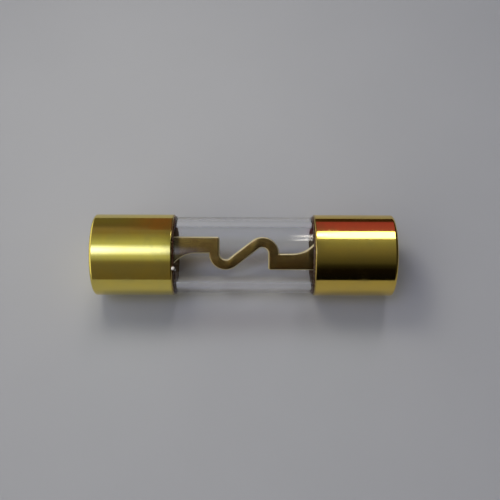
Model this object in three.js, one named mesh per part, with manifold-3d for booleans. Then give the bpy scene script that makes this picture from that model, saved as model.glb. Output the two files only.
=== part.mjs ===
// A cartridge fuse of the 10.3 x 38 mm ferrule type: a glass tube, two plated caps cemented over
// its ends, and a stamped strip that runs through the tube and is soldered into both caps. The
// strip narrows to an S-shaped fusible link in the middle.
// The fuse's axis is X and the middle of the fuse is the origin. The fuse lies with +Z up, and its
// strip leans towards -Y, as it comes to rest when the tube is put down anyhow.
import * as THREE from "three";
import { mergeVertices } from "three/addons/utils/BufferGeometryUtils.js";
import Module from "manifold-3d";

const wasm = await Module();
wasm.setup();

// Driving dimensions, in millimetres.
const FUSE_LENGTH = 38;
const CAP_RADIUS = 5.2;
const CAP_LENGTH = 10.2;
const CAP_WALL = 0.25;
const CAP_FLOOR = 0.35;
const CAP_CORNER = 0.35;
const CAP_INNER_CORNER = 0.2;
const LIP_LENGTH = 0.18; // of the round edge at the cap's mouth
const LIP_EDGE = 0.04; // what is left of the wall at the very mouth

const GLASS_RADIUS = 4.85;
const BORE_RADIUS = 3.6;
const GLASS_LENGTH = 35.2;
const RIM_ROUNDING = 0.35;

const STRIP_WIDTH = 4.3;
const STRIP_THICKNESS = 0.5;
const BLADE_WIDTH = 2.15;
const STRIP_LEAN = (32 * Math.PI) / 180; // of its face, from straight up towards -Y
const STRIP_OFFSET = 0.2; // from the axis, in its own plane, away from -Y
const FLARE_X = 6.15; // where a blade starts to widen to the full strip, measured from the middle
const FLARE_RADIUS = 3.65;
const LINK_WIDTH = 1.4;
const LINK_RADIUS = 1.45; // of the link's centre line, round each of its two bends
const LINK_X = 2.35; // of each bend's centre, from the middle
const TAB_HEIGHT = 4.2; // above the fuse's axis
const TAB_BEND = 0.3; // inside radius

const CEMENT_END = 15.6; // from the middle
const BEAD_LENGTH = 0.2; // of the cement that is squeezed out of the cap's mouth
const BEAD_RADIUS = 5.02;
const SOLDER_FOOT = 4.3; // radius on the cap's floor
const SOLDER_TOP = 3.1; // radius under the tab

const CLEARANCE = 0.02; // between the tab and the glass rim
const SLIT = 0.01; // between faces that are bonded
const SEGMENTS = 48; // round the axis

// Sizes that follow from those.
const END = FUSE_LENGTH / 2;
const CAP_MOUTH = END - CAP_LENGTH;
const CAP_BORE = CAP_RADIUS - CAP_WALL;
const FLOOR_INSIDE = END - CAP_FLOOR;
const GLASS_END = GLASS_LENGTH / 2;
const STRIP_EDGE = STRIP_WIDTH / 2;
const NOTCH_DEPTH = STRIP_WIDTH - BLADE_WIDTH;
const FLARE_ANGLE = Math.acos(1 - NOTCH_DEPTH / FLARE_RADIUS);
const SHOULDER_X = FLARE_X + FLARE_RADIUS * Math.sin(FLARE_ANGLE);
const TAB_INSIDE = GLASS_END + CLEARANCE;
const TAB_OUTSIDE = TAB_INSIDE + STRIP_THICKNESS;
const RIGHT_ANGLE = Math.PI / 2;

const materials = {
  gold: new THREE.MeshStandardMaterial({ color: 0xd6b548, metalness: 1, roughness: 0.18 }),
  glass: new THREE.MeshStandardMaterial({
    color: 0xe4ebe6,
    metalness: 0,
    roughness: 0.03,
    transparent: true,
    opacity: 0.35,
  }),
  strip: new THREE.MeshStandardMaterial({ color: 0x9c7f4a, metalness: 1, roughness: 0.34 }),
  solder: new THREE.MeshStandardMaterial({ color: 0xb4b7ba, metalness: 1, roughness: 0.42 }),
  cement: new THREE.MeshStandardMaterial({ color: 0x402917, metalness: 0, roughness: 0.3 }),
};

// Points of a profile's round corner, from one angle to another, both in radians.
function corner(r, along, radius, from, to, steps) {
  return Array.from({ length: steps + 1 }, (_, i) => {
    const angle = from + ((to - from) * i) / steps;
    return new THREE.Vector2(r + radius * Math.cos(angle), along + radius * Math.sin(angle));
  });
}

// A body turned about the fuse's axis. Half a segment of turn puts a flat facet underneath.
function turned(name, profile, material, side = 1) {
  const geometry = new THREE.LatheGeometry(profile, SEGMENTS, Math.PI / SEGMENTS);
  const mesh = new THREE.Mesh(geometry, material);
  mesh.name = name;
  mesh.rotation.z = -side * RIGHT_ANGLE;
  return mesh;
}

// A drawn cup with a round shoulder, a flat end and a mouth whose edge is tumbled round.
function capProfile() {
  const lipRise = CAP_WALL - LIP_EDGE;
  const [round, inner] = [CAP_CORNER, CAP_INNER_CORNER];
  const lip = Array.from({ length: 6 }, (_, i) => {
    const angle = (RIGHT_ANGLE * i) / 5;
    const r = CAP_RADIUS - lipRise * (1 - Math.sin(angle));
    return new THREE.Vector2(r, CAP_MOUTH + LIP_LENGTH * (1 - Math.cos(angle)));
  });
  return [
    new THREE.Vector2(0, FLOOR_INSIDE),
    ...corner(CAP_BORE - inner, FLOOR_INSIDE - inner, inner, RIGHT_ANGLE, 0, 3),
    new THREE.Vector2(CAP_BORE, CAP_MOUTH),
    ...lip,
    ...corner(CAP_RADIUS - round, END - round, round, 0, RIGHT_ANGLE, 5),
    new THREE.Vector2(0, END),
  ];
}

// A plain tube whose two rims are fire-polished round.
function glassProfile() {
  const [outer, inner] = [GLASS_RADIUS - RIM_ROUNDING, BORE_RADIUS + RIM_ROUNDING];
  const shoulder = GLASS_END - RIM_ROUNDING;
  const profile = [
    ...corner(outer, -shoulder, RIM_ROUNDING, -RIGHT_ANGLE, 0, 3),
    ...corner(outer, shoulder, RIM_ROUNDING, 0, RIGHT_ANGLE, 3),
    ...corner(inner, shoulder, RIM_ROUNDING, RIGHT_ANGLE, 2 * RIGHT_ANGLE, 3),
    ...corner(inner, -shoulder, RIM_ROUNDING, 2 * RIGHT_ANGLE, 3 * RIGHT_ANGLE, 3),
  ];
  return [...profile, profile[0].clone()];
}

// The film of cement between a cap's skirt and the glass, with a bead in front of the mouth.
function cementProfile() {
  const [inner, outer] = [GLASS_RADIUS + SLIT, CAP_BORE - SLIT];
  const front = CAP_MOUTH - BEAD_LENGTH;
  const profile = [
    new THREE.Vector2(inner, front),
    new THREE.Vector2((inner + BEAD_RADIUS) / 2, front + BEAD_LENGTH / 4),
    new THREE.Vector2(BEAD_RADIUS, CAP_MOUTH - SLIT),
    new THREE.Vector2(outer, CAP_MOUTH - SLIT),
    new THREE.Vector2(outer, CEMENT_END),
    new THREE.Vector2(inner, CEMENT_END),
  ];
  return [...profile, profile[0].clone()];
}

// A puddle of solder on the cap's floor, with a hollow edge, flat where the strip's tab sits on it.
function solderProfile() {
  const [top, foot] = [TAB_OUTSIDE + SLIT, FLOOR_INSIDE - SLIT];
  const steps = 4;
  const meniscus = Array.from({ length: steps + 1 }, (_, i) => {
    const angle = (RIGHT_ANGLE * i) / steps;
    const r = SOLDER_FOOT - (SOLDER_FOOT - SOLDER_TOP) * Math.cos(angle);
    return new THREE.Vector2(r, top + (foot - 0.05 - top) * (1 - Math.cos(angle)));
  });
  return [
    new THREE.Vector2(0, top),
    ...meniscus,
    new THREE.Vector2(SOLDER_FOOT, foot),
    new THREE.Vector2(0, foot),
  ];
}

// Half of the flat blank's outline. With turn 1 it runs from the left end of the strip along its
// near edge to the right blade, and with turn -1 it is the same outline, half a turn about Z.
function blankHalf(shape, turn) {
  const centre = -LINK_X * turn;
  const [outside, inside] = [LINK_RADIUS + LINK_WIDTH / 2, LINK_RADIUS - LINK_WIDTH / 2];
  const slope = Math.asin(LINK_RADIUS / LINK_X);
  const from = turn > 0 ? 0 : Math.PI;
  const edge = -STRIP_EDGE * turn;
  const flare = new THREE.Vector2(-FLARE_X * turn, edge + (NOTCH_DEPTH - FLARE_RADIUS) * turn);
  const steepest = RIGHT_ANGLE + FLARE_ANGLE + from;
  shape.lineTo(-TAB_OUTSIDE * turn, edge);
  shape.lineTo(-SHOULDER_X * turn, edge);
  shape.absarc(flare.x, flare.y, FLARE_RADIUS, steepest, RIGHT_ANGLE + from, true);
  shape.lineTo(centre - outside * turn, (STRIP_EDGE - BLADE_WIDTH) * turn);
  shape.absarc(centre, 0, outside, Math.PI + from, 3 * RIGHT_ANGLE + slope + from, false);
  shape.absarc(-centre, 0, inside, RIGHT_ANGLE + slope + from, from, true);
  shape.lineTo(-centre + inside * turn, edge);
}

// The strip's outline as it is stamped, seen from above.
function blankShape() {
  const shape = new THREE.Shape();
  shape.moveTo(-TAB_OUTSIDE, STRIP_EDGE);
  blankHalf(shape, 1);
  shape.lineTo(TAB_OUTSIDE, -STRIP_EDGE);
  blankHalf(shape, -1);
  return shape;
}

// The strip seen from its edge: flat along the tube, with both ends bent up over the glass rims.
function sideShape() {
  const [half, bend] = [STRIP_THICKNESS / 2, TAB_INSIDE - TAB_BEND];
  const rise = half + TAB_BEND;
  const shape = new THREE.Shape();
  shape.moveTo(-bend, -half);
  shape.lineTo(bend, -half);
  shape.absarc(bend, rise, TAB_BEND + STRIP_THICKNESS, -RIGHT_ANGLE, 0, false);
  shape.lineTo(TAB_OUTSIDE, TAB_HEIGHT);
  shape.lineTo(TAB_INSIDE, TAB_HEIGHT);
  shape.absarc(bend, rise, TAB_BEND, 0, -RIGHT_ANGLE, true);
  shape.absarc(-bend, rise, TAB_BEND, -RIGHT_ANGLE, -2 * RIGHT_ANGLE, true);
  shape.lineTo(-TAB_INSIDE, TAB_HEIGHT);
  shape.lineTo(-TAB_OUTSIDE, TAB_HEIGHT);
  shape.absarc(-bend, rise, TAB_BEND + STRIP_THICKNESS, Math.PI, 3 * RIGHT_ANGLE, false);
  return shape;
}

function solidOf(geometry) {
  geometry.deleteAttribute("normal");
  geometry.deleteAttribute("uv");
  const merged = mergeVertices(geometry, 1e-5);
  const vertProperties = merged.attributes.position.array;
  const triVerts = new Uint32Array(merged.index.array);
  return new wasm.Manifold(new wasm.Mesh({ numProp: 3, vertProperties, triVerts }));
}

function geometryOf(solid) {
  const { vertProperties, triVerts } = solid.getMesh();
  const geometry = new THREE.BufferGeometry();
  geometry.setAttribute("position", new THREE.BufferAttribute(vertProperties, 3));
  geometry.setIndex(new THREE.BufferAttribute(triVerts, 1));
  geometry.computeVertexNormals();
  return geometry;
}

// The stamped and bent strip is what the blank and its edge view have in common.
function stripMesh() {
  const depth = 2 * CAP_RADIUS;
  const flat = { depth, bevelEnabled: false };
  const plan = new THREE.ExtrudeGeometry(blankShape(), { ...flat, curveSegments: 7 });
  plan.translate(0, 0, -STRIP_EDGE);
  const side = new THREE.ExtrudeGeometry(sideShape(), { ...flat, curveSegments: 3 });
  side.rotateX(RIGHT_ANGLE).translate(0, depth / 2, 0);
  const strip = solidOf(plan).intersect(solidOf(side));
  const mesh = new THREE.Mesh(geometryOf(strip), materials.strip);
  mesh.name = "fuse_element";
  mesh.rotation.x = STRIP_LEAN;
  mesh.translateY(STRIP_OFFSET);
  return mesh;
}

const fuse = new THREE.Group();
fuse.add(turned("glass_tube", glassProfile(), materials.glass), stripMesh());
for (const [end, side] of [["left", -1], ["right", 1]]) {
  fuse.add(
    turned(`${end}_end_cap`, capProfile(), materials.gold, side),
    turned(`${end}_cement_ring`, cementProfile(), materials.cement, side),
    turned(`${end}_solder_pad`, solderProfile(), materials.solder, side),
  );
}

export default fuse;
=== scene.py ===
import math

import bmesh
import bpy
from mathutils import Matrix, Vector, noise


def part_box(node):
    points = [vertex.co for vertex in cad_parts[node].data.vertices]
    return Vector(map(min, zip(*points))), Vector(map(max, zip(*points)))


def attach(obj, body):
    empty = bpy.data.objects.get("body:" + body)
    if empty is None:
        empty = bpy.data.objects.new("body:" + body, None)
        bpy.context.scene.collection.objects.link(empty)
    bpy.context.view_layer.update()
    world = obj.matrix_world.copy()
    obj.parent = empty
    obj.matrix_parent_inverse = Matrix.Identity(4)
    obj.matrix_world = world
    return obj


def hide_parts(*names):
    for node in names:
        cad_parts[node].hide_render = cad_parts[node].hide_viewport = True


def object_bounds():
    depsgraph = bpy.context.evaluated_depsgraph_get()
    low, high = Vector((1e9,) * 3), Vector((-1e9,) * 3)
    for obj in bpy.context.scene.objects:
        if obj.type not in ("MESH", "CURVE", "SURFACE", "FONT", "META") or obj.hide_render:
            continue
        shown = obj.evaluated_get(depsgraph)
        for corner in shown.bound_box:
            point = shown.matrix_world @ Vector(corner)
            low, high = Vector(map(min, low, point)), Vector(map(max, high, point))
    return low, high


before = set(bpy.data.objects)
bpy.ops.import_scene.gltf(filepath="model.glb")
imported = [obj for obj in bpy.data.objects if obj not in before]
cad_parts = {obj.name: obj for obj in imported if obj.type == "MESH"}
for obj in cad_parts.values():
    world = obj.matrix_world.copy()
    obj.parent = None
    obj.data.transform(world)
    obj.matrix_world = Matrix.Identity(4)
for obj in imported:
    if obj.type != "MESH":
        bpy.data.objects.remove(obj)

# A glass cartridge fuse with two gold-plated caps and a stamped strip with an S-shaped link.
# The tube lies along X, +Y is away from the camera and +Z is up. Everything is in metres.

CAD_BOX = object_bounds()
MM = 0.001
TURN = 2 * math.pi
RIGHT_ANGLE = math.pi / 2

# Sizes that the boxes of the CAD nodes don't give.
CAP_WALL = 0.25 * MM
CAP_FLOOR = 0.35 * MM
CAP_CORNER = 0.35 * MM
CAP_INNER_CORNER = 0.2 * MM
LIP_LENGTH = 0.18 * MM
LIP_EDGE = 0.04 * MM
GLASS_WALL = 1.25 * MM
RIM_ROUNDING = 0.35 * MM
STRIP_WIDTH = 4.3 * MM
STRIP_THICKNESS = 0.5 * MM
STRIP_LEAN = math.radians(32)
STRIP_OFFSET = 0.2 * MM
BLADE_WIDTH = 2.15 * MM
FLARE_X = 6.15 * MM
FLARE_RADIUS = 3.65 * MM
LINK_WIDTH = 1.4 * MM
LINK_RADIUS = 1.45 * MM
LINK_X = 2.35 * MM
TAB_HEIGHT = 4.2 * MM
TAB_BEND = 0.3 * MM
CORNER_FILLET = 0.3 * MM
EDGE_ROUNDING = 0.24 * MM
BEAD_RADIUS = 0.22 * MM
BEAD_ANGLE = math.radians(-43)
SLIT = 0.01 * MM

# Small errors of shape. The margins keep the caps and the glass inside their true radius.
CAP_WAVE = 0.0016 * MM
CAP_FLUTE = 0.002 * MM
CAP_MARGIN = 0.0025 * MM
PRESSED_DEPTH = 0.006 * MM
PRESSED_LENGTH = 0.8 * MM
BORE_WAVE = 0.012 * MM
GLASS_MARGIN = 0.001 * MM
STRIP_WAVE = 0.04 * MM
STRIP_WAVE_REACH = 5 * MM
SOLDER_LUMPS = 0.12 * MM
SOLDER_CLIMB = 0.3 * MM
SOLDER_CLIMB_REACH = 0.35 * MM
SOLDER_GROOVE = 0.03 * MM

# How finely the pieces are divided. The strip is cut across at even steps, STRIP_CUTS of them on
# each side of its middle, and at finer ones where it bends.
CAP_SEGMENTS = 192
GLASS_SEGMENTS = 192
RING_SEGMENTS = 144
STRIP_CUT = 0.4 * MM
STRIP_CUTS = 43
BEND_CUT = 0.06 * MM
BEND_CUTS = 16
SHORTEST = 0.001 * MM

# The camera looks down at the fuse from the front, a little to the right of its middle.
ELEVATION = math.radians(66)
DISTANCE = 102.7 * MM
AIM_RIGHT = 0.78 * MM
AIM_UP = 0.65 * MM
ROLL = math.radians(0.2)
LENS = 57.5
SENSOR = 36
NEAREST = 1 * MM
FARTHEST = 10

# The two golds, each clean and worn.
LEMON_GOLD = ((0.86, 0.68, 0.14, 1), (0.78, 0.64, 0.16, 1))
WARM_GOLD = ((0.86, 0.61, 0.115, 1), (0.79, 0.57, 0.125, 1))

# The room that the fuse mirrors. A direction in it has an angle from straight up, in degrees
# towards the far side, and a lean, which is its X part. These are the colours of the light by
# angle. The left side is a pale wall and ceiling. The right side has a red screen low down on the
# far side and gets dark towards the camera.
LIGHT_LEFT = (
    (-95, (0.12, 0.1, 0.07)),
    (-52, (0.14, 0.125, 0.11)),
    (-43, (0.18, 0.165, 0.12)),
    (-32, (0.44, 0.48, 0.42)),
    (-22, (0.62, 0.68, 0.58)),
    (-8, (0.65, 0.72, 0.6)),
    (3, (0.55, 0.62, 0.5)),
    (14, (0.42, 0.46, 0.38)),
    (22, (0.33, 0.34, 0.25)),
    (40, (0.215, 0.18, 0.125)),
    (54, (0.22, 0.18, 0.16)),
    (66, (0.115, 0.1, 0.075)),
    (86, (0.12, 0.11, 0.07)),
)
LIGHT_RIGHT = (
    (-95, (0.002, 0.002, 0.003)),
    (-64, (0.005, 0.004, 0.004)),
    (-52, (0.02, 0.02, 0.018)),
    (-44, (0.055, 0.055, 0.05)),
    (-30, (0.09, 0.09, 0.08)),
    (-8, (0.17, 0.17, 0.15)),
    (10, (0.23, 0.25, 0.23)),
    (24, (0.34, 0.37, 0.36)),
    (46, (0.4, 0.2, 0.34)),
    (51, (0.36, 0.085, 0.18)),
    (84, (0.3, 0.055, 0.12)),
    (88, (0.04, 0.02, 0.01)),
)
LIGHT_SCALE = 6

# Where the left side passes into the right one, and the walls beyond them, by lean.
SIDES_MEET = (-0.1, 0.03)
DARK_ROOM = {"light": (0.03, 0.028, 0.025), "starts": (0.26, 0.34)}
DIM_WALL = {"light": (0.22, 0.21, 0.18), "starts": (-0.24, -0.34)}
PALE_WALL = {"light": (0.9, 0.9, 0.86), "starts": (-0.38, -0.55)}

# Patches in the room. A span is where it starts, how wide that flank is, where it ends and how
# wide that flank is. No angle reaches BEYOND.
BEYOND = 200
RED_SCREEN = {
    "light": (0.17, 0.08, 0.05),
    "angle": (51, 6, BEYOND, 1),
    "lean": (-0.135, 0.05, 0, 0.04),
}
CEILING = {
    "light": (0.08, 0.08, 0.075),
    "angle": (-27, 14, BEYOND, 1),
    "lean": (-0.088, 0.03, 0.07, 0.02),
}
WINDOW = {
    "light": (6.0, 6.0, 6.0),
    "angle": (25.5, 5, 46.5, 3),
    "lean": (0.08, 0.006, 0.215, 0.02),
}
WINDOW_SILL = {
    "light": (12.0, 13.5, 19.0),
    "angle": (31.5, 4, 40, 4),
    "lean": (0.062, 0.036, 0.082, 0.006),
}

# A tube light on the left: its glow brightens and fades with the lean, and its core has a span.
TUBE_LIGHT = {
    "light": (2.28, 2.7, 6.0),
    "angle": (-19.2, 17, -1.7, 17),
    "brightens": (-0.045, -0.12),
    "fades": (-0.36, -0.5),
    "core": (-0.4, 0.1, -0.175, 0.02),
}
TUBE_GLOW = 0.5
TUBE_CORE = 0.35

# The colour that the camera sees past the card.
BACKDROP = (0.2, 0.2, 0.21)

# The lamp that casts the fuse's soft shadow, to the right and towards the camera, and a broad one
# that lightens it.
KEY_LAMP = {"place": Vector((-26, 35, 75)) * MM, "size": 30 * MM, "power": 0.0235}
FILL_LAMP = {"place": Vector((-38, -68, 75)) * MM, "size": 110 * MM, "power": 0.0142}
LAMP_COLOUR = (1.0, 0.96, 0.88)

# The card under the fuse: how far it reaches to each side, towards the camera and away from it.
CARD_SIDE = 70 * MM
CARD_NEAR = 58 * MM
CARD_FAR = 40 * MM
SURROUND = 3000 * MM

# A Mix node's sockets for colours.
MIX_FACTOR = 0
MIX_FIRST = 6
MIX_SECOND = 7
MIX_RESULT = 2


# ---------------------------------------------------------------- mesh helpers


def made_object(mesh_data, name, material):
    """An object with a mesh from a bmesh, which it frees."""
    mesh = bpy.data.meshes.new(name)
    mesh_data.to_mesh(mesh)
    mesh_data.free()
    mesh.materials.append(material)
    made = bpy.data.objects.new(name, mesh)
    bpy.context.scene.collection.objects.link(made)
    return made


def finished(mesh_data, name, material, cad_node):
    """Turns a bmesh into a piece that stands for a CAD node and rides on the fuse's one body."""
    bmesh.ops.recalc_face_normals(mesh_data, faces=mesh_data.faces)
    piece = made_object(mesh_data, name, material)
    piece.data.shade_smooth()
    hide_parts(cad_node)
    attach(piece, "root")
    return piece


def arc(along, r, radius, start, end, steps):
    """Points of a round corner in a profile, as (along, r), from one angle to another."""
    angles = [start + (end - start) * i / steps for i in range(steps + 1)]
    return [(along + radius * math.sin(a), r + radius * math.cos(a)) for a in angles]


def line(start, end, step):
    """Points along a straight stretch of a profile, with one close to each end to keep it flat."""
    a, b = Vector(start), Vector(end)
    length = (b - a).length
    guard = min(0.03 * MM, length / 4)
    count = max(1, round((length - 2 * guard) / step))
    places = [guard + (length - 2 * guard) * i / count for i in range(count + 1)]
    return [tuple(a.lerp(b, place / length)) for place in places]


def joined(*stretches):
    """One profile from its stretches, without points that repeat."""
    points = [point for stretch in stretches for point in stretch]
    kept = points[:1]
    for point in points[1:]:
        if (Vector(point) - Vector(kept[-1])).length > SHORTEST:
            kept.append(point)
    return kept


def revolved(profile, segments, closed, shift):
    """A body turned about X. shift(along, r, angle) gives a point's small error in r."""
    body = bmesh.new()
    rings = []
    for along, r in profile:
        if r < SHORTEST:
            rings.append([body.verts.new((along, 0, 0))] * segments)
            continue
        ring = []
        for i in range(segments):
            angle = TURN * i / segments
            reach = r + shift(along, r, angle)
            ring.append(body.verts.new((along, reach * math.sin(angle), reach * math.cos(angle))))
        rings.append(ring)
    pairs = list(zip(rings, rings[1:]))
    if closed:
        pairs.append((rings[-1], rings[0]))
    for ring, following in pairs:
        for i in range(segments):
            j = (i + 1) % segments
            corners = [ring[i], ring[j], following[j], following[i]]
            body.faces.new(list(dict.fromkeys(corners)))
    return body


def wave(along, r, angle, spacing, seed):
    """A smooth random value between about -1 and 1 on a round body's surface."""
    place = Vector((along, r * math.sin(angle), r * math.cos(angle))) / spacing
    return noise.noise(place + Vector((seed, 0, 0)))


# ---------------------------------------------------------------- material helpers


def new_material(name):
    material = bpy.data.materials.new(name)
    material.use_nodes = True
    material.node_tree.nodes.clear()
    return material


def node(tree, kind, inputs=None, **settings):
    """Adds a node. inputs maps a socket's name or number to a value or to an output to link."""
    made = tree.nodes.new(kind)
    for setting, value in settings.items():
        setattr(made, setting, value)
    for socket, value in (inputs or {}).items():
        if isinstance(value, bpy.types.NodeSocket):
            tree.links.new(value, made.inputs[socket])
        else:
            made.inputs[socket].default_value = value
    return made


def math_node(tree, operation, *values):
    return node(tree, "ShaderNodeMath", dict(enumerate(values)), operation=operation).outputs[0]


def object_place(tree):
    """The place on the object, in metres."""
    return node(tree, "ShaderNodeTexCoord").outputs["Object"]


def millimetres(tree, stretch=(1, 1, 1)):
    """Object coordinates in millimetres, with each axis stretched by its own factor."""
    inputs = {"Vector": object_place(tree), "Scale": Vector(stretch) / MM}
    return node(tree, "ShaderNodeMapping", inputs).outputs[0]


def unrolled(tree, along, around):
    """Coordinates on a round body: along its axis and its angle, each stretched."""
    parts = node(tree, "ShaderNodeSeparateXYZ", {0: object_place(tree)}).outputs
    angle = math_node(tree, "ARCTAN2", parts["Y"], parts["Z"])
    inputs = {
        "X": math_node(tree, "MULTIPLY", parts["X"], along / MM),
        "Y": math_node(tree, "MULTIPLY", angle, around),
    }
    return node(tree, "ShaderNodeCombineXYZ", inputs).outputs[0]


def grain(tree, place, scale, detail=3, roughness=0.5, distortion=0):
    inputs = {
        "Vector": place,
        "Scale": scale,
        "Detail": detail,
        "Roughness": roughness,
        "Distortion": distortion,
    }
    return node(tree, "ShaderNodeTexNoise", inputs).outputs["Fac"]


def cells(tree, scale):
    """How far a place is from the middle of the nearest of many small cells."""
    inputs = {"Vector": millimetres(tree), "Scale": scale}
    return node(tree, "ShaderNodeTexVoronoi", inputs).outputs["Distance"]


def remap(tree, value, low, high, to_low, to_high, smooth=False):
    kind = "SMOOTHSTEP" if smooth else "LINEAR"
    inputs = {0: value, 1: low, 2: high, 3: to_low, 4: to_high}
    return node(tree, "ShaderNodeMapRange", inputs, interpolation_type=kind).outputs[0]


def mixed(tree, factor, first, second, blend="MIX"):
    inputs = {MIX_FACTOR: factor, MIX_FIRST: first, MIX_SECOND: second}
    made = node(tree, "ShaderNodeMix", inputs, data_type="RGBA", blend_type=blend)
    return made.outputs[MIX_RESULT]


def bump(tree, height, strength, depth, normal=None):
    inputs = {"Height": height, "Strength": strength, "Distance": depth}
    if normal is not None:
        inputs["Normal"] = normal
    return node(tree, "ShaderNodeBump", inputs).outputs[0]


def principled(tree, inputs):
    return node(tree, "ShaderNodeBsdfPrincipled", inputs).outputs[0]


def output(tree, shader):
    node(tree, "ShaderNodeOutputMaterial", {"Surface": shader})


# ---------------------------------------------------------------- materials


def mouth_edge(tree):
    """One on the edge at a cap's mouth, and nought on the rest of the cap: there the gold is rougher
    from tumbling and painted darker as shade.
    """
    along = node(tree, "ShaderNodeSeparateXYZ", {0: object_place(tree)}).outputs["X"]
    from_middle = math_node(tree, "ABSOLUTE", along)
    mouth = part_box("right_end_cap")[0].x
    start = mouth + 0.6 * LIP_LENGTH
    end = mouth + 1.4 * LIP_LENGTH
    return remap(tree, from_middle, start, end, 1, 0)


def gold_plate(name, clean, worn):
    """Bright gold plating over drawn brass: nearly a mirror, with draw lines, smudges and scuffs.
    The edge at the cap's mouth is rougher from tumbling, and its colour is painted darker there as
    shade on the lip."""
    material = new_material(name)
    tree = material.node_tree
    # The mouth's colour is painted darker than the gold: painted shade on the lip.
    mouth_shade = (0.42, 0.3, 0.09, 1)
    smudges = grain(tree, millimetres(tree), 0.45, detail=4, roughness=0.6, distortion=0.4)
    lines = grain(tree, unrolled(tree, 0.25, 40), 1, detail=5, roughness=0.65)
    flecks = millimetres(tree, (1, 0.3, 0.3))
    scuffs = grain(tree, flecks, 6, detail=6, roughness=0.7, distortion=1.2)
    dull_and_shaded = mouth_edge(tree)
    colour = mixed(tree, remap(tree, smudges, 0.35, 0.7, 0, 1), clean, worn)
    rough = remap(tree, smudges, 0.45, 0.75, 0.09, 0.16, smooth=True)
    rough = math_node(tree, "ADD", rough, remap(tree, scuffs, 0.6, 0.75, 0, 0.12, smooth=True))
    relief = bump(tree, lines, 0.5, 0.0018 * MM)
    inputs = {
        "Base Color": mixed(tree, dull_and_shaded, colour, mouth_shade),
        "Metallic": 1.0,
        "Roughness": math_node(tree, "MULTIPLY_ADD", dull_and_shaded, 0.15, rough),
        "Normal": bump(tree, scuffs, 0.4, 0.0015 * MM, relief),
    }
    output(tree, principled(tree, inputs))
    return material


def clear_glass():
    """Clear glass with a few smears. Lamps shine through it, but little where they graze it."""
    material = new_material("clear_glass")
    tree = material.node_tree
    clean = (0.985, 0.985, 0.988, 1)
    smeared = (0.97, 0.972, 0.98, 1)
    straight = (0.975, 0.975, 0.975, 1)
    slanting = (0.6, 0.54, 0.48, 1)
    smears = grain(tree, millimetres(tree, (0.4, 1, 1)), 0.8, detail=4, roughness=0.6, distortion=0.6)
    drawn = grain(tree, unrolled(tree, 0.06, 9), 1, detail=2)
    inputs = {
        "Base Color": mixed(tree, smears, clean, smeared),
        "Roughness": remap(tree, smears, 0.5, 0.8, 0.0, 0.035, smooth=True),
        "IOR": 1.51,
        "Specular Tint": (1.0, 0.83, 0.5, 1),
        "Transmission Weight": 1.0,
        "Normal": bump(tree, drawn, 0.3, 0.002 * MM),
    }
    glass = principled(tree, inputs)
    facing = node(tree, "ShaderNodeLayerWeight", {"Blend": 0.5}).outputs["Facing"]
    passed = mixed(tree, remap(tree, facing, 0.28, 0.5, 0, 1, smooth=True), straight, slanting)
    clear = node(tree, "ShaderNodeBsdfTransparent", {0: passed}).outputs[0]
    path = node(tree, "ShaderNodeLightPath").outputs
    shader = node(tree, "ShaderNodeMixShader", {0: path["Is Shadow Ray"], 1: glass, 2: clear})
    inputs = {0: path["Is Diffuse Ray"], 1: shader.outputs[0], 2: clear}
    output(tree, node(tree, "ShaderNodeMixShader", inputs).outputs[0])
    return material


def edge_mask(tree):
    """One on the strip's sheared edges and nought on its two faces, by which way the surface faces.
    """
    face = (0, -math.sin(STRIP_LEAN), math.cos(STRIP_LEAN))
    inputs = {0: node(tree, "ShaderNodeNewGeometry").outputs["Normal"], 1: face}
    product = node(tree, "ShaderNodeVectorMath", inputs, operation="DOT_PRODUCT").outputs["Value"]
    flat = math_node(tree, "ABSOLUTE", product)
    return remap(tree, flat, 0.82, 0.98, 1, 0, smooth=True)


def stamped_brass():
    """Rolled brass strip: smooth but stained faces with rolling lines, and rough edges, paler like
    freshly sheared brass and partly a painted highlight.
    """
    material = new_material("stamped_brass")
    tree = material.node_tree
    fresh = (0.42, 0.27, 0.075, 1)
    stained = (0.34, 0.19, 0.052, 1)
    # The edges' colour: freshly sheared brass, painted paler as a highlight along the edges.
    cut_and_highlight = (0.78, 0.68, 0.38, 1)
    stains = grain(tree, millimetres(tree), 0.9, detail=4, roughness=0.6, distortion=0.5)
    rolled = grain(tree, millimetres(tree, (0.5, 14, 14)), 1, detail=4, roughness=0.6)
    torn = grain(tree, millimetres(tree, (9, 9, 0.8)), 1, roughness=0.6)
    colour = mixed(tree, remap(tree, stains, 0.35, 0.65, 0, 1, smooth=True), fresh, stained)
    edge = edge_mask(tree)
    rough = remap(tree, rolled, 0.3, 0.7, 0.13, 0.22)
    torn_rough = remap(tree, torn, 0.3, 0.7, 0.32, 0.45)
    inputs = {
        "Base Color": mixed(tree, edge, colour, cut_and_highlight),
        # Less metallic on the edges, so that their pale colour shows as a painted highlight.
        "Metallic": remap(tree, edge, 0, 1, 1, 0.65),
        "Roughness": remap(tree, edge, 0, 1, rough, torn_rough),
        "Normal": bump(tree, torn, 0.35, 0.006 * MM, bump(tree, rolled, 0.5, 0.004 * MM)),
    }
    output(tree, principled(tree, inputs))
    return material


def tin_solder():
    """Frosty tin solder with small crystals."""
    material = new_material("tin_solder")
    tree = material.node_tree
    dark = (0.5, 0.51, 0.53, 1)
    bright = (0.66, 0.67, 0.68, 1)
    frost = grain(tree, millimetres(tree), 9, detail=4)
    inputs = {
        "Base Color": mixed(tree, frost, dark, bright),
        "Metallic": 1.0,
        "Roughness": remap(tree, frost, 0.3, 0.7, 0.28, 0.5),
        "Normal": bump(tree, cells(tree, 4), 0.4, 0.01 * MM),
    }
    output(tree, principled(tree, inputs))
    return material


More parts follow.
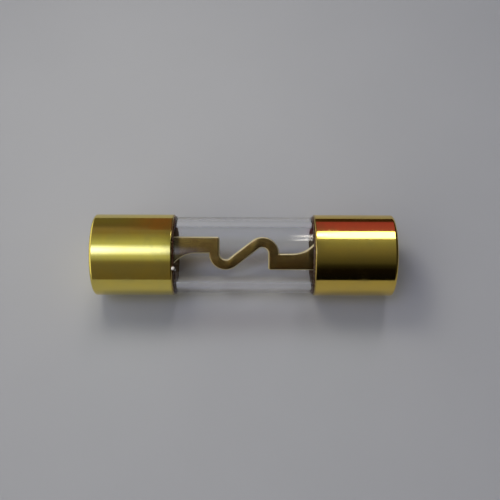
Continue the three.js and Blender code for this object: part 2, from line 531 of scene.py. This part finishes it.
def resin_cement():
    """Dark brown resin, glossy where it is smooth and cloudy with small bubbles."""
    material = new_material("resin_cement")
    tree = material.node_tree
    dark = (0.035, 0.014, 0.004, 1)
    cloudy = (0.075, 0.03, 0.01, 1)
    cloud = grain(tree, millimetres(tree), 1.6, detail=4, roughness=0.6)
    inputs = {
        "Base Color": mixed(tree, cloud, dark, cloudy),
        "Roughness": remap(tree, cloud, 0.3, 0.7, 0.18, 0.4),
        "Normal": bump(tree, cells(tree, 3.5), 0.3, 0.02 * MM),
    }
    output(tree, principled(tree, inputs))
    return material


def glint_white():
    """Nearly white and glossy, with a faint cloud. The white is a painted highlight for the bright
    glint at the left cap's mouth.
    """
    material = new_material("glint_white")
    tree = material.node_tree
    # Near-white: a painted highlight.
    pale = (0.95, 0.9, 0.82, 1)
    cloudy = (0.88, 0.8, 0.68, 1)
    cloud = grain(tree, millimetres(tree), 6)
    inputs = {
        "Base Color": mixed(tree, cloud, pale, cloudy),
        "Roughness": remap(tree, cloud, 0.3, 0.7, 0.15, 0.3),
        "Coat Weight": 0.5,
    }
    output(tree, principled(tree, inputs))
    return material


def pale_card():
    """The floor: smooth pale card with a faint mottle."""
    material = new_material("pale_card")
    tree = material.node_tree
    dark = (0.435, 0.44, 0.435, 1)
    pale = (0.465, 0.47, 0.465, 1)
    mottle = grain(tree, millimetres(tree), 0.06)
    fibre = grain(tree, millimetres(tree), 4, detail=4, roughness=0.6)
    inputs = {
        "Base Color": mixed(tree, mottle, dark, pale),
        "Roughness": 0.8,
        "Specular IOR Level": 0.15,
        "Normal": bump(tree, fibre, 0.15, 0.01 * MM),
    }
    output(tree, principled(tree, inputs))
    return material


# ---------------------------------------------------------------- the fuse's pieces


def cap_profile(mouth, end, outer):
    """A drawn cup with a round shoulder and an edge rounded by tumbling at its mouth, as (along, r).
    """
    floor_start = end - CAP_FLOOR
    bore = outer - CAP_WALL
    roll = CAP_WALL - LIP_EDGE
    shoulder = end - CAP_CORNER
    inner = CAP_INNER_CORNER
    steps = 12
    angles = [RIGHT_ANGLE * i / steps for i in range(steps + 1)]
    lip = [
        (mouth + LIP_LENGTH * (1 - math.cos(a)), outer - roll * (1 - math.sin(a))) for a in angles
    ]
    return joined(
        [(floor_start, 0)],
        line((floor_start, 0), (floor_start, bore - inner), step=0.6 * MM),
        arc(floor_start - inner, bore - inner, inner, RIGHT_ANGLE, 0, steps=6),
        line((floor_start - inner, bore), (mouth, bore), step=0.6 * MM),
        lip,
        line((mouth + LIP_LENGTH, outer), (shoulder, outer), step=0.18 * MM),
        arc(shoulder, outer - CAP_CORNER, CAP_CORNER, 0, RIGHT_ANGLE, steps=14),
        line((end, outer - CAP_CORNER), (end, 0), step=0.35 * MM),
        [(end, 0)],
    )


def end_cap(side, name, material):
    """One cap. side is -1 for the left one and 1 for the right one."""
    low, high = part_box(f"{name}_end_cap")
    outer = high.z
    mouth, end = sorted((abs(low.x), abs(high.x)))

    def dents(along, r, angle):
        skin = min(1, max(0, (r - outer + CAP_WALL) / CAP_WALL))
        near_mouth = math.exp(-(along - mouth) / PRESSED_LENGTH)
        pressed = 0.5 + 0.5 * wave(0, r, angle, 2 * MM, 3 * side)
        hollow = wave(along, r, angle, 3.2 * MM, side) * CAP_WAVE
        hollow += wave(0, r, angle, 5 * MM, side) * CAP_FLUTE
        hollow -= near_mouth * pressed * PRESSED_DEPTH
        return skin * (hollow - CAP_MARGIN)

    body = revolved(cap_profile(mouth, end, outer), CAP_SEGMENTS, False, dents)
    for vert in body.verts:
        vert.co.x *= side
    return finished(body, f"{name}_cap", material, f"{name}_end_cap")


def glass_tube(material):
    """A drawn tube: its bore wavers slightly along its length, and both rims are melted round."""
    low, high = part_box("glass_tube")
    outer = high.z
    end = high.x
    bore = outer - GLASS_WALL
    shoulder = end - RIM_ROUNDING
    melt = RIM_ROUNDING
    profile = joined(
        line((-shoulder, outer), (shoulder, outer), step=0.5 * MM),
        arc(shoulder, outer - melt, melt, 0, RIGHT_ANGLE, steps=8),
        line((end, outer - melt), (end, bore + melt), step=0.15 * MM),
        arc(shoulder, bore + melt, melt, RIGHT_ANGLE, 2 * RIGHT_ANGLE, steps=8),
        line((shoulder, bore), (-shoulder, bore), step=0.5 * MM),
        arc(-shoulder, bore + melt, melt, -2 * RIGHT_ANGLE, -RIGHT_ANGLE, steps=8),
        line((-end, bore + melt), (-end, outer - melt), step=0.15 * MM),
        arc(-shoulder, outer - melt, melt, -RIGHT_ANGLE, 0, steps=8)[:-1],
    )

    def drawn(along, r, angle):
        inside = min(1, max(0, (outer - r) / GLASS_WALL))
        long_wave = wave(along * 0.2, r, angle, 2.5 * MM, 7)
        return inside * long_wave * BORE_WAVE - GLASS_MARGIN

    body = revolved(profile, GLASS_SEGMENTS, True, drawn)
    return finished(body, "tube", material, "glass_tube")


def bend(x, y, radius, start, end, steps):
    """Points of an arc in the flat strip's outline, from one angle to another."""
    angles = [start + (end - start) * i / steps for i in range(steps + 1)]
    return [(x + radius * math.cos(a), y + radius * math.sin(a)) for a in angles]


def blank_outline():
    """The flat strip's outline before it is bent, as points that run round it."""
    edge = STRIP_WIDTH / 2
    neutral = TAB_BEND + STRIP_THICKNESS / 2
    reach = bend_start() + RIGHT_ANGLE * neutral + TAB_HEIGHT - neutral
    outside = LINK_RADIUS + LINK_WIDTH / 2
    inside = LINK_RADIUS - LINK_WIDTH / 2
    depth = STRIP_WIDTH - BLADE_WIDTH
    slope = math.asin(LINK_RADIUS / LINK_X)
    level = depth - edge - FLARE_RADIUS
    steepest = RIGHT_ANGLE + math.acos(1 - depth / FLARE_RADIUS)
    corner_x = LINK_X + inside + CORNER_FILLET
    corner_y = CORNER_FILLET - edge
    half = [(-reach, edge), (-reach, -edge)]
    half += bend(-FLARE_X, level, FLARE_RADIUS, steepest, RIGHT_ANGLE, steps=20)
    half.append((-LINK_X - outside, edge - BLADE_WIDTH))
    half += bend(-LINK_X, 0, outside, math.pi, 3 * RIGHT_ANGLE + slope, steps=28)
    half += bend(LINK_X, 0, inside, RIGHT_ANGLE + slope, 0, steps=16)
    half += bend(corner_x, corner_y, CORNER_FILLET, math.pi, 3 * RIGHT_ANGLE, steps=5)
    return joined(half + [(-x, -y) for x, y in half])


def bend_start():
    """How far from the middle the strip starts to turn up into its tab."""
    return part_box("fuse_element")[1].x - STRIP_THICKNESS - TAB_BEND


def bent(place):
    """Where a point of the flat strip goes when its ends are bent up over the glass rims."""
    past = abs(place.x) - bend_start()
    if past <= 0:
        return place
    neutral = TAB_BEND + STRIP_THICKNESS / 2
    angle = min(past / neutral, RIGHT_ANGLE)
    rest = max(0, past - RIGHT_ANGLE * neutral)
    radius = neutral - place.z
    x = bend_start() + radius * math.sin(angle)
    z = neutral - radius * math.cos(angle) + rest
    return Vector((math.copysign(x, place.x), place.y, z))


def leaned():
    """Turns the strip's own frame, with its face up, into the fuse's."""
    shift = Matrix.Translation((0, STRIP_OFFSET, 0))
    return Matrix.Rotation(STRIP_LEAN, 4, "X") @ shift


def fuse_strip(material):
    """The stamped strip: extruded from its outline, edges rounded, then both tabs bent up."""
    body = bmesh.new()
    half = STRIP_THICKNESS / 2
    base = body.faces.new([body.verts.new((x, y, -half)) for x, y in blank_outline()])
    raised = bmesh.ops.extrude_face_region(body, geom=[base])["geom"]
    top = [item for item in raised if isinstance(item, bmesh.types.BMVert)]
    bmesh.ops.translate(body, verts=top, vec=(0, 0, STRIP_THICKNESS))
    rims = [edge for edge in body.edges if abs(edge.verts[0].co.z - edge.verts[1].co.z) < SLIT]
    bmesh.ops.bevel(body, geom=rims, offset=EDGE_ROUNDING, segments=4, profile=0.5, affect="EDGES")
    cuts = [i * STRIP_CUT for i in range(-STRIP_CUTS, STRIP_CUTS + 1)]
    turns = [bend_start() + i * BEND_CUT for i in range(BEND_CUTS)]
    for x in cuts + turns + [-turn for turn in turns]:
        geometry = [*body.verts, *body.edges, *body.faces]
        bmesh.ops.bisect_plane(body, geom=geometry, plane_co=(x, 0, 0), plane_no=(1, 0, 0))
    for vert in body.verts:
        x, y, z = vert.co
        middle = math.exp(-((x / STRIP_WAVE_REACH) ** 2))
        vert.co.z += noise.noise(Vector((x, y, 0)) / (2.6 * MM)) * STRIP_WAVE * middle
        vert.co = leaned() @ bent(vert.co)
    piece = finished(body, "strip", material, "fuse_element")
    piece.modifiers.new("steady_shading", "WEIGHTED_NORMAL").keep_sharp = True
    return piece


def solder_pad(side, name, material):
    """A lumpy puddle of solder on a cap's floor, drawn up round the edges of the strip's tab."""
    low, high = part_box(f"{name}_solder_pad")
    near, foot = sorted((abs(low.x), abs(high.x)))
    rim = high.z
    core = rim * 0.7
    rise = foot - near
    steps = 10
    shares = [i / steps for i in range(steps + 1)]
    slope = [(near + rise * share**2, core + (rim - core) * share) for share in shares]
    profile = joined(
        [(near, 0)],
        line((near, 0), (near, core), step=0.12 * MM),
        slope,
        line((foot, rim), (foot, 0), step=0.6 * MM),
        [(foot, 0)],
    )

    def lumps(along, r, angle):
        return wave(0, r, angle, 1.2 * MM, 11 * side) * SOLDER_LUMPS * min(1, r / core)

    body = revolved(profile, RING_SEGMENTS, False, lumps)
    flat = leaned().inverted()
    for vert in body.verts:
        x, y, z = flat @ vert.co
        beside = max(0, abs(y) - STRIP_WIDTH / 2)
        beyond = max(0, z - TAB_HEIGHT, -STRIP_THICKNESS / 2 - z)
        gap = math.hypot(beside, beyond)
        if gap > 0 and vert.co.x < foot - SLIT:
            climb = math.exp(-gap / SOLDER_CLIMB_REACH) * SOLDER_CLIMB
            vert.co.x -= climb * min(1, gap / SOLDER_GROOVE)
        vert.co.x *= side
    return finished(body, f"{name}_solder", material, f"{name}_solder_pad")


def cement_ring(side, name, material):
    """Cement between a cap's skirt and the glass, with an uneven bead in front of the mouth."""
    low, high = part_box(f"{name}_cement_ring")
    front, back = sorted((abs(low.x), abs(high.x)))
    cap_low, cap_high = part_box(f"{name}_end_cap")
    mouth = min(abs(cap_low.x), abs(cap_high.x)) - SLIT
    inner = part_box("glass_tube")[1].z + SLIT
    outer = cap_high.z - CAP_WALL - SLIT
    crest = high.z
    length = mouth - front
    steps = 8
    angles = [RIGHT_ANGLE * i / steps for i in range(steps + 1)]
    bead = [
        (mouth - length * math.cos(a), inner + (crest - inner) * math.sin(a)) for a in angles
    ]
    profile = joined(
        bead,
        line((mouth, crest), (mouth, outer), step=0.02 * MM),
        line((mouth, outer), (back, outer), step=0.6 * MM),
        line((back, outer), (back, inner), step=0.04 * MM),
        line((back, inner), (front, inner), step=0.6 * MM),
    )
    body = revolved(profile[:-1], RING_SEGMENTS, True, lambda *place: 0)
    for vert in body.verts:
        x, y, z = vert.co
        angle = math.atan2(y, z)
        if x < mouth:
            uneven = 1 + 0.45 * wave(0, outer, angle, 1.6 * MM, 5 * side)
            vert.co.x = mouth - (mouth - x) * uneven
        vert.co.x *= side
    return finished(body, f"{name}_cement", material, f"{name}_cement_ring")


def glint_bead(material):
    """A tiny bead stuck in the cement at the left cap's mouth, near-white as a painted highlight."""
    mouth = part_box("left_end_cap")[1].x
    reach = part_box("left_cement_ring")[1].z
    front = mouth + BEAD_RADIUS / 2
    centre = Vector((front, reach * math.sin(BEAD_ANGLE), reach * math.cos(BEAD_ANGLE)))
    body = bmesh.new()
    bmesh.ops.create_icosphere(body, subdivisions=4, radius=BEAD_RADIUS)
    for vert in body.verts:
        lumpy = 1 + 0.12 * noise.noise(vert.co / (0.12 * MM))
        vert.co = centre + vert.co * lumpy
    bead = made_object(body, "left_glint_bead", material)
    bead.data.shade_smooth()
    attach(bead, "root")


# ---------------------------------------------------------------- the studio


def card(name, near, far, side, height, material):
    """A flat sheet that isn't part of the fuse."""
    body = bmesh.new()
    corners = ((-side, -near), (side, -near), (side, far), (-side, far))
    body.faces.new([body.verts.new((x, y, 0)) for x, y in corners])
    sheet = made_object(body, name, material)
    sheet.location.z = height
    return sheet


def floor(material):
    """The card that the fuse lies on, and the same card further out, which gold doesn't mirror."""
    height = CAD_BOX[0].z
    card("floor", CARD_NEAR, CARD_FAR, CARD_SIDE, height, material)
    outer = card("surround", SURROUND, SURROUND, SURROUND, height - SLIT, material)
    outer.visible_glossy = False


def lamp(name, place, size, power):
    """A soft lamp that shines at the fuse and isn't mirrored in it or seen through it."""
    data = bpy.data.lights.new(name, "AREA")
    data.size = size
    data.energy = power
    data.color = LAMP_COLOUR
    light = bpy.data.objects.new(name, data)
    light.location = place
    light.rotation_mode = "QUATERNION"
    light.rotation_quaternion = (-place).to_track_quat("-Z", "Y")
    light.visible_camera = False
    light.visible_glossy = False
    light.visible_transmission = False
    bpy.context.scene.collection.objects.link(light)


def share(colour):
    """A light's colour as a share of LIGHT_SCALE."""
    return tuple(channel / LIGHT_SCALE for channel in colour) + (1,)


def ramp(tree, angle, stops):
    """The light at an angle in degrees, from a list of stops."""
    low, high = stops[0][0], stops[-1][0]
    made = node(tree, "ShaderNodeValToRGB", {0: remap(tree, angle, low, high, 0, 1)})
    elements = made.color_ramp.elements
    while len(elements) < len(stops):
        elements.new(0.5)
    for element, (degrees, colour) in zip(elements, stops):
        element.position = (degrees - low) / (high - low)
    for element, (degrees, colour) in zip(elements, stops):
        element.color = share(colour)
    return made.outputs[0]


def between(tree, value, low, rise, high, fall):
    """One where a value lies between low and high, with soft flanks of their own widths."""
    up = remap(tree, value, low - rise / 2, low + rise / 2, 0, 1, smooth=True)
    down = remap(tree, value, high - fall / 2, high + fall / 2, 1, 0, smooth=True)
    return math_node(tree, "MULTIPLY", up, down)


def patch(tree, angle, lean, zone):
    """One inside a zone's spans of angle and of lean."""
    across = between(tree, angle, *zone["angle"])
    along = between(tree, lean, *zone["lean"])
    return math_node(tree, "MULTIPLY", across, along)


def room(tree, angle, lean):
    """The light of the walls and the ceiling."""
    side = remap(tree, lean, *SIDES_MEET, 0, 1, smooth=True)
    light = mixed(tree, side, ramp(tree, angle, LIGHT_LEFT), ramp(tree, angle, LIGHT_RIGHT))
    light = mixed(tree, patch(tree, angle, lean, RED_SCREEN), light, share(RED_SCREEN["light"]))
    for wall in (DARK_ROOM, DIM_WALL, PALE_WALL):
        amount = remap(tree, lean, *wall["starts"], 0, 1, smooth=True)
        light = mixed(tree, amount, light, share(wall["light"]))
    return mixed(tree, patch(tree, angle, lean, CEILING), light, share(CEILING["light"]))


def tube_light(tree, angle, lean):
    """How much of the tube light is seen: a long glow, with a brighter core further left."""
    start = remap(tree, lean, *TUBE_LIGHT["brightens"], 0, TUBE_GLOW, smooth=True)
    end = remap(tree, lean, *TUBE_LIGHT["fades"], 1, 0, smooth=True)
    glow = math_node(tree, "MULTIPLY", start, end)
    core = math_node(tree, "MULTIPLY", between(tree, lean, *TUBE_LIGHT["core"]), TUBE_CORE)
    along = math_node(tree, "ADD", glow, core)
    return math_node(tree, "MULTIPLY", between(tree, angle, *TUBE_LIGHT["angle"]), along)


def studio():
    """A room of soft light, laid out by angle from straight up and by how far it leans in X."""
    world = bpy.data.worlds.new("studio")
    bpy.context.scene.world = world
    world.use_nodes = True
    tree = world.node_tree
    tree.nodes.clear()
    place = node(tree, "ShaderNodeTexCoord").outputs["Generated"]
    parts = node(tree, "ShaderNodeSeparateXYZ", {0: place}).outputs
    lean = parts["X"]
    turned = math_node(tree, "ARCTAN2", parts["Y"], parts["Z"])
    angle = math_node(tree, "MULTIPLY", turned, math.degrees(1))
    light = room(tree, angle, lean)
    for bright in (WINDOW, WINDOW_SILL):
        light = mixed(tree, patch(tree, angle, lean, bright), light, share(bright["light"]), "ADD")
    tube = tube_light(tree, angle, lean)
    light = mixed(tree, tube, light, share(TUBE_LIGHT["light"]), "ADD")
    seen = node(tree, "ShaderNodeLightPath").outputs["Is Camera Ray"]
    inputs = {"Color": mixed(tree, seen, light, share(BACKDROP)), "Strength": LIGHT_SCALE}
    shader = node(tree, "ShaderNodeBackground", inputs).outputs[0]
    node(tree, "ShaderNodeOutputWorld", {"Surface": shader})


def camera():
    """Looks down at the fuse from the front, with the whole of it in view."""
    data = bpy.data.cameras.new("camera")
    data.lens = LENS
    data.sensor_width = SENSOR
    data.clip_start = NEAREST
    data.clip_end = FARTHEST
    eye = bpy.data.objects.new("camera", data)
    bpy.context.scene.collection.objects.link(eye)
    low, high = CAD_BOX
    back = Vector((0, -math.cos(ELEVATION), math.sin(ELEVATION)))
    up = Vector((0, math.sin(ELEVATION), math.cos(ELEVATION)))
    aim = (low + high) / 2 + Vector((AIM_RIGHT, 0, 0)) + up * AIM_UP
    turn = Matrix.Rotation(ROLL, 4, back)
    eye.rotation_mode = "QUATERNION"
    eye.rotation_quaternion = turn.to_quaternion() @ (-back).to_track_quat("-Z", "Y")
    eye.location = aim + back * DISTANCE
    bpy.context.scene.camera = eye


camera()
studio()
lamp("key_lamp", **KEY_LAMP)
lamp("fill_lamp", **FILL_LAMP)
floor(pale_card())
solder = tin_solder()
cement = resin_cement()
glass_tube(clear_glass())
fuse_strip(stamped_brass())
left_gold = gold_plate("lemon_gold", *LEMON_GOLD)
right_gold = gold_plate("warm_gold", *WARM_GOLD)
for side, name, gold in ((-1, "left", left_gold), (1, "right", right_gold)):
    end_cap(side, name, gold)
    solder_pad(side, name, solder)
    cement_ring(side, name, cement)
glint_bead(glint_white())

bpy.context.scene.view_settings.view_transform = "Standard"
bpy.context.view_layer.update()
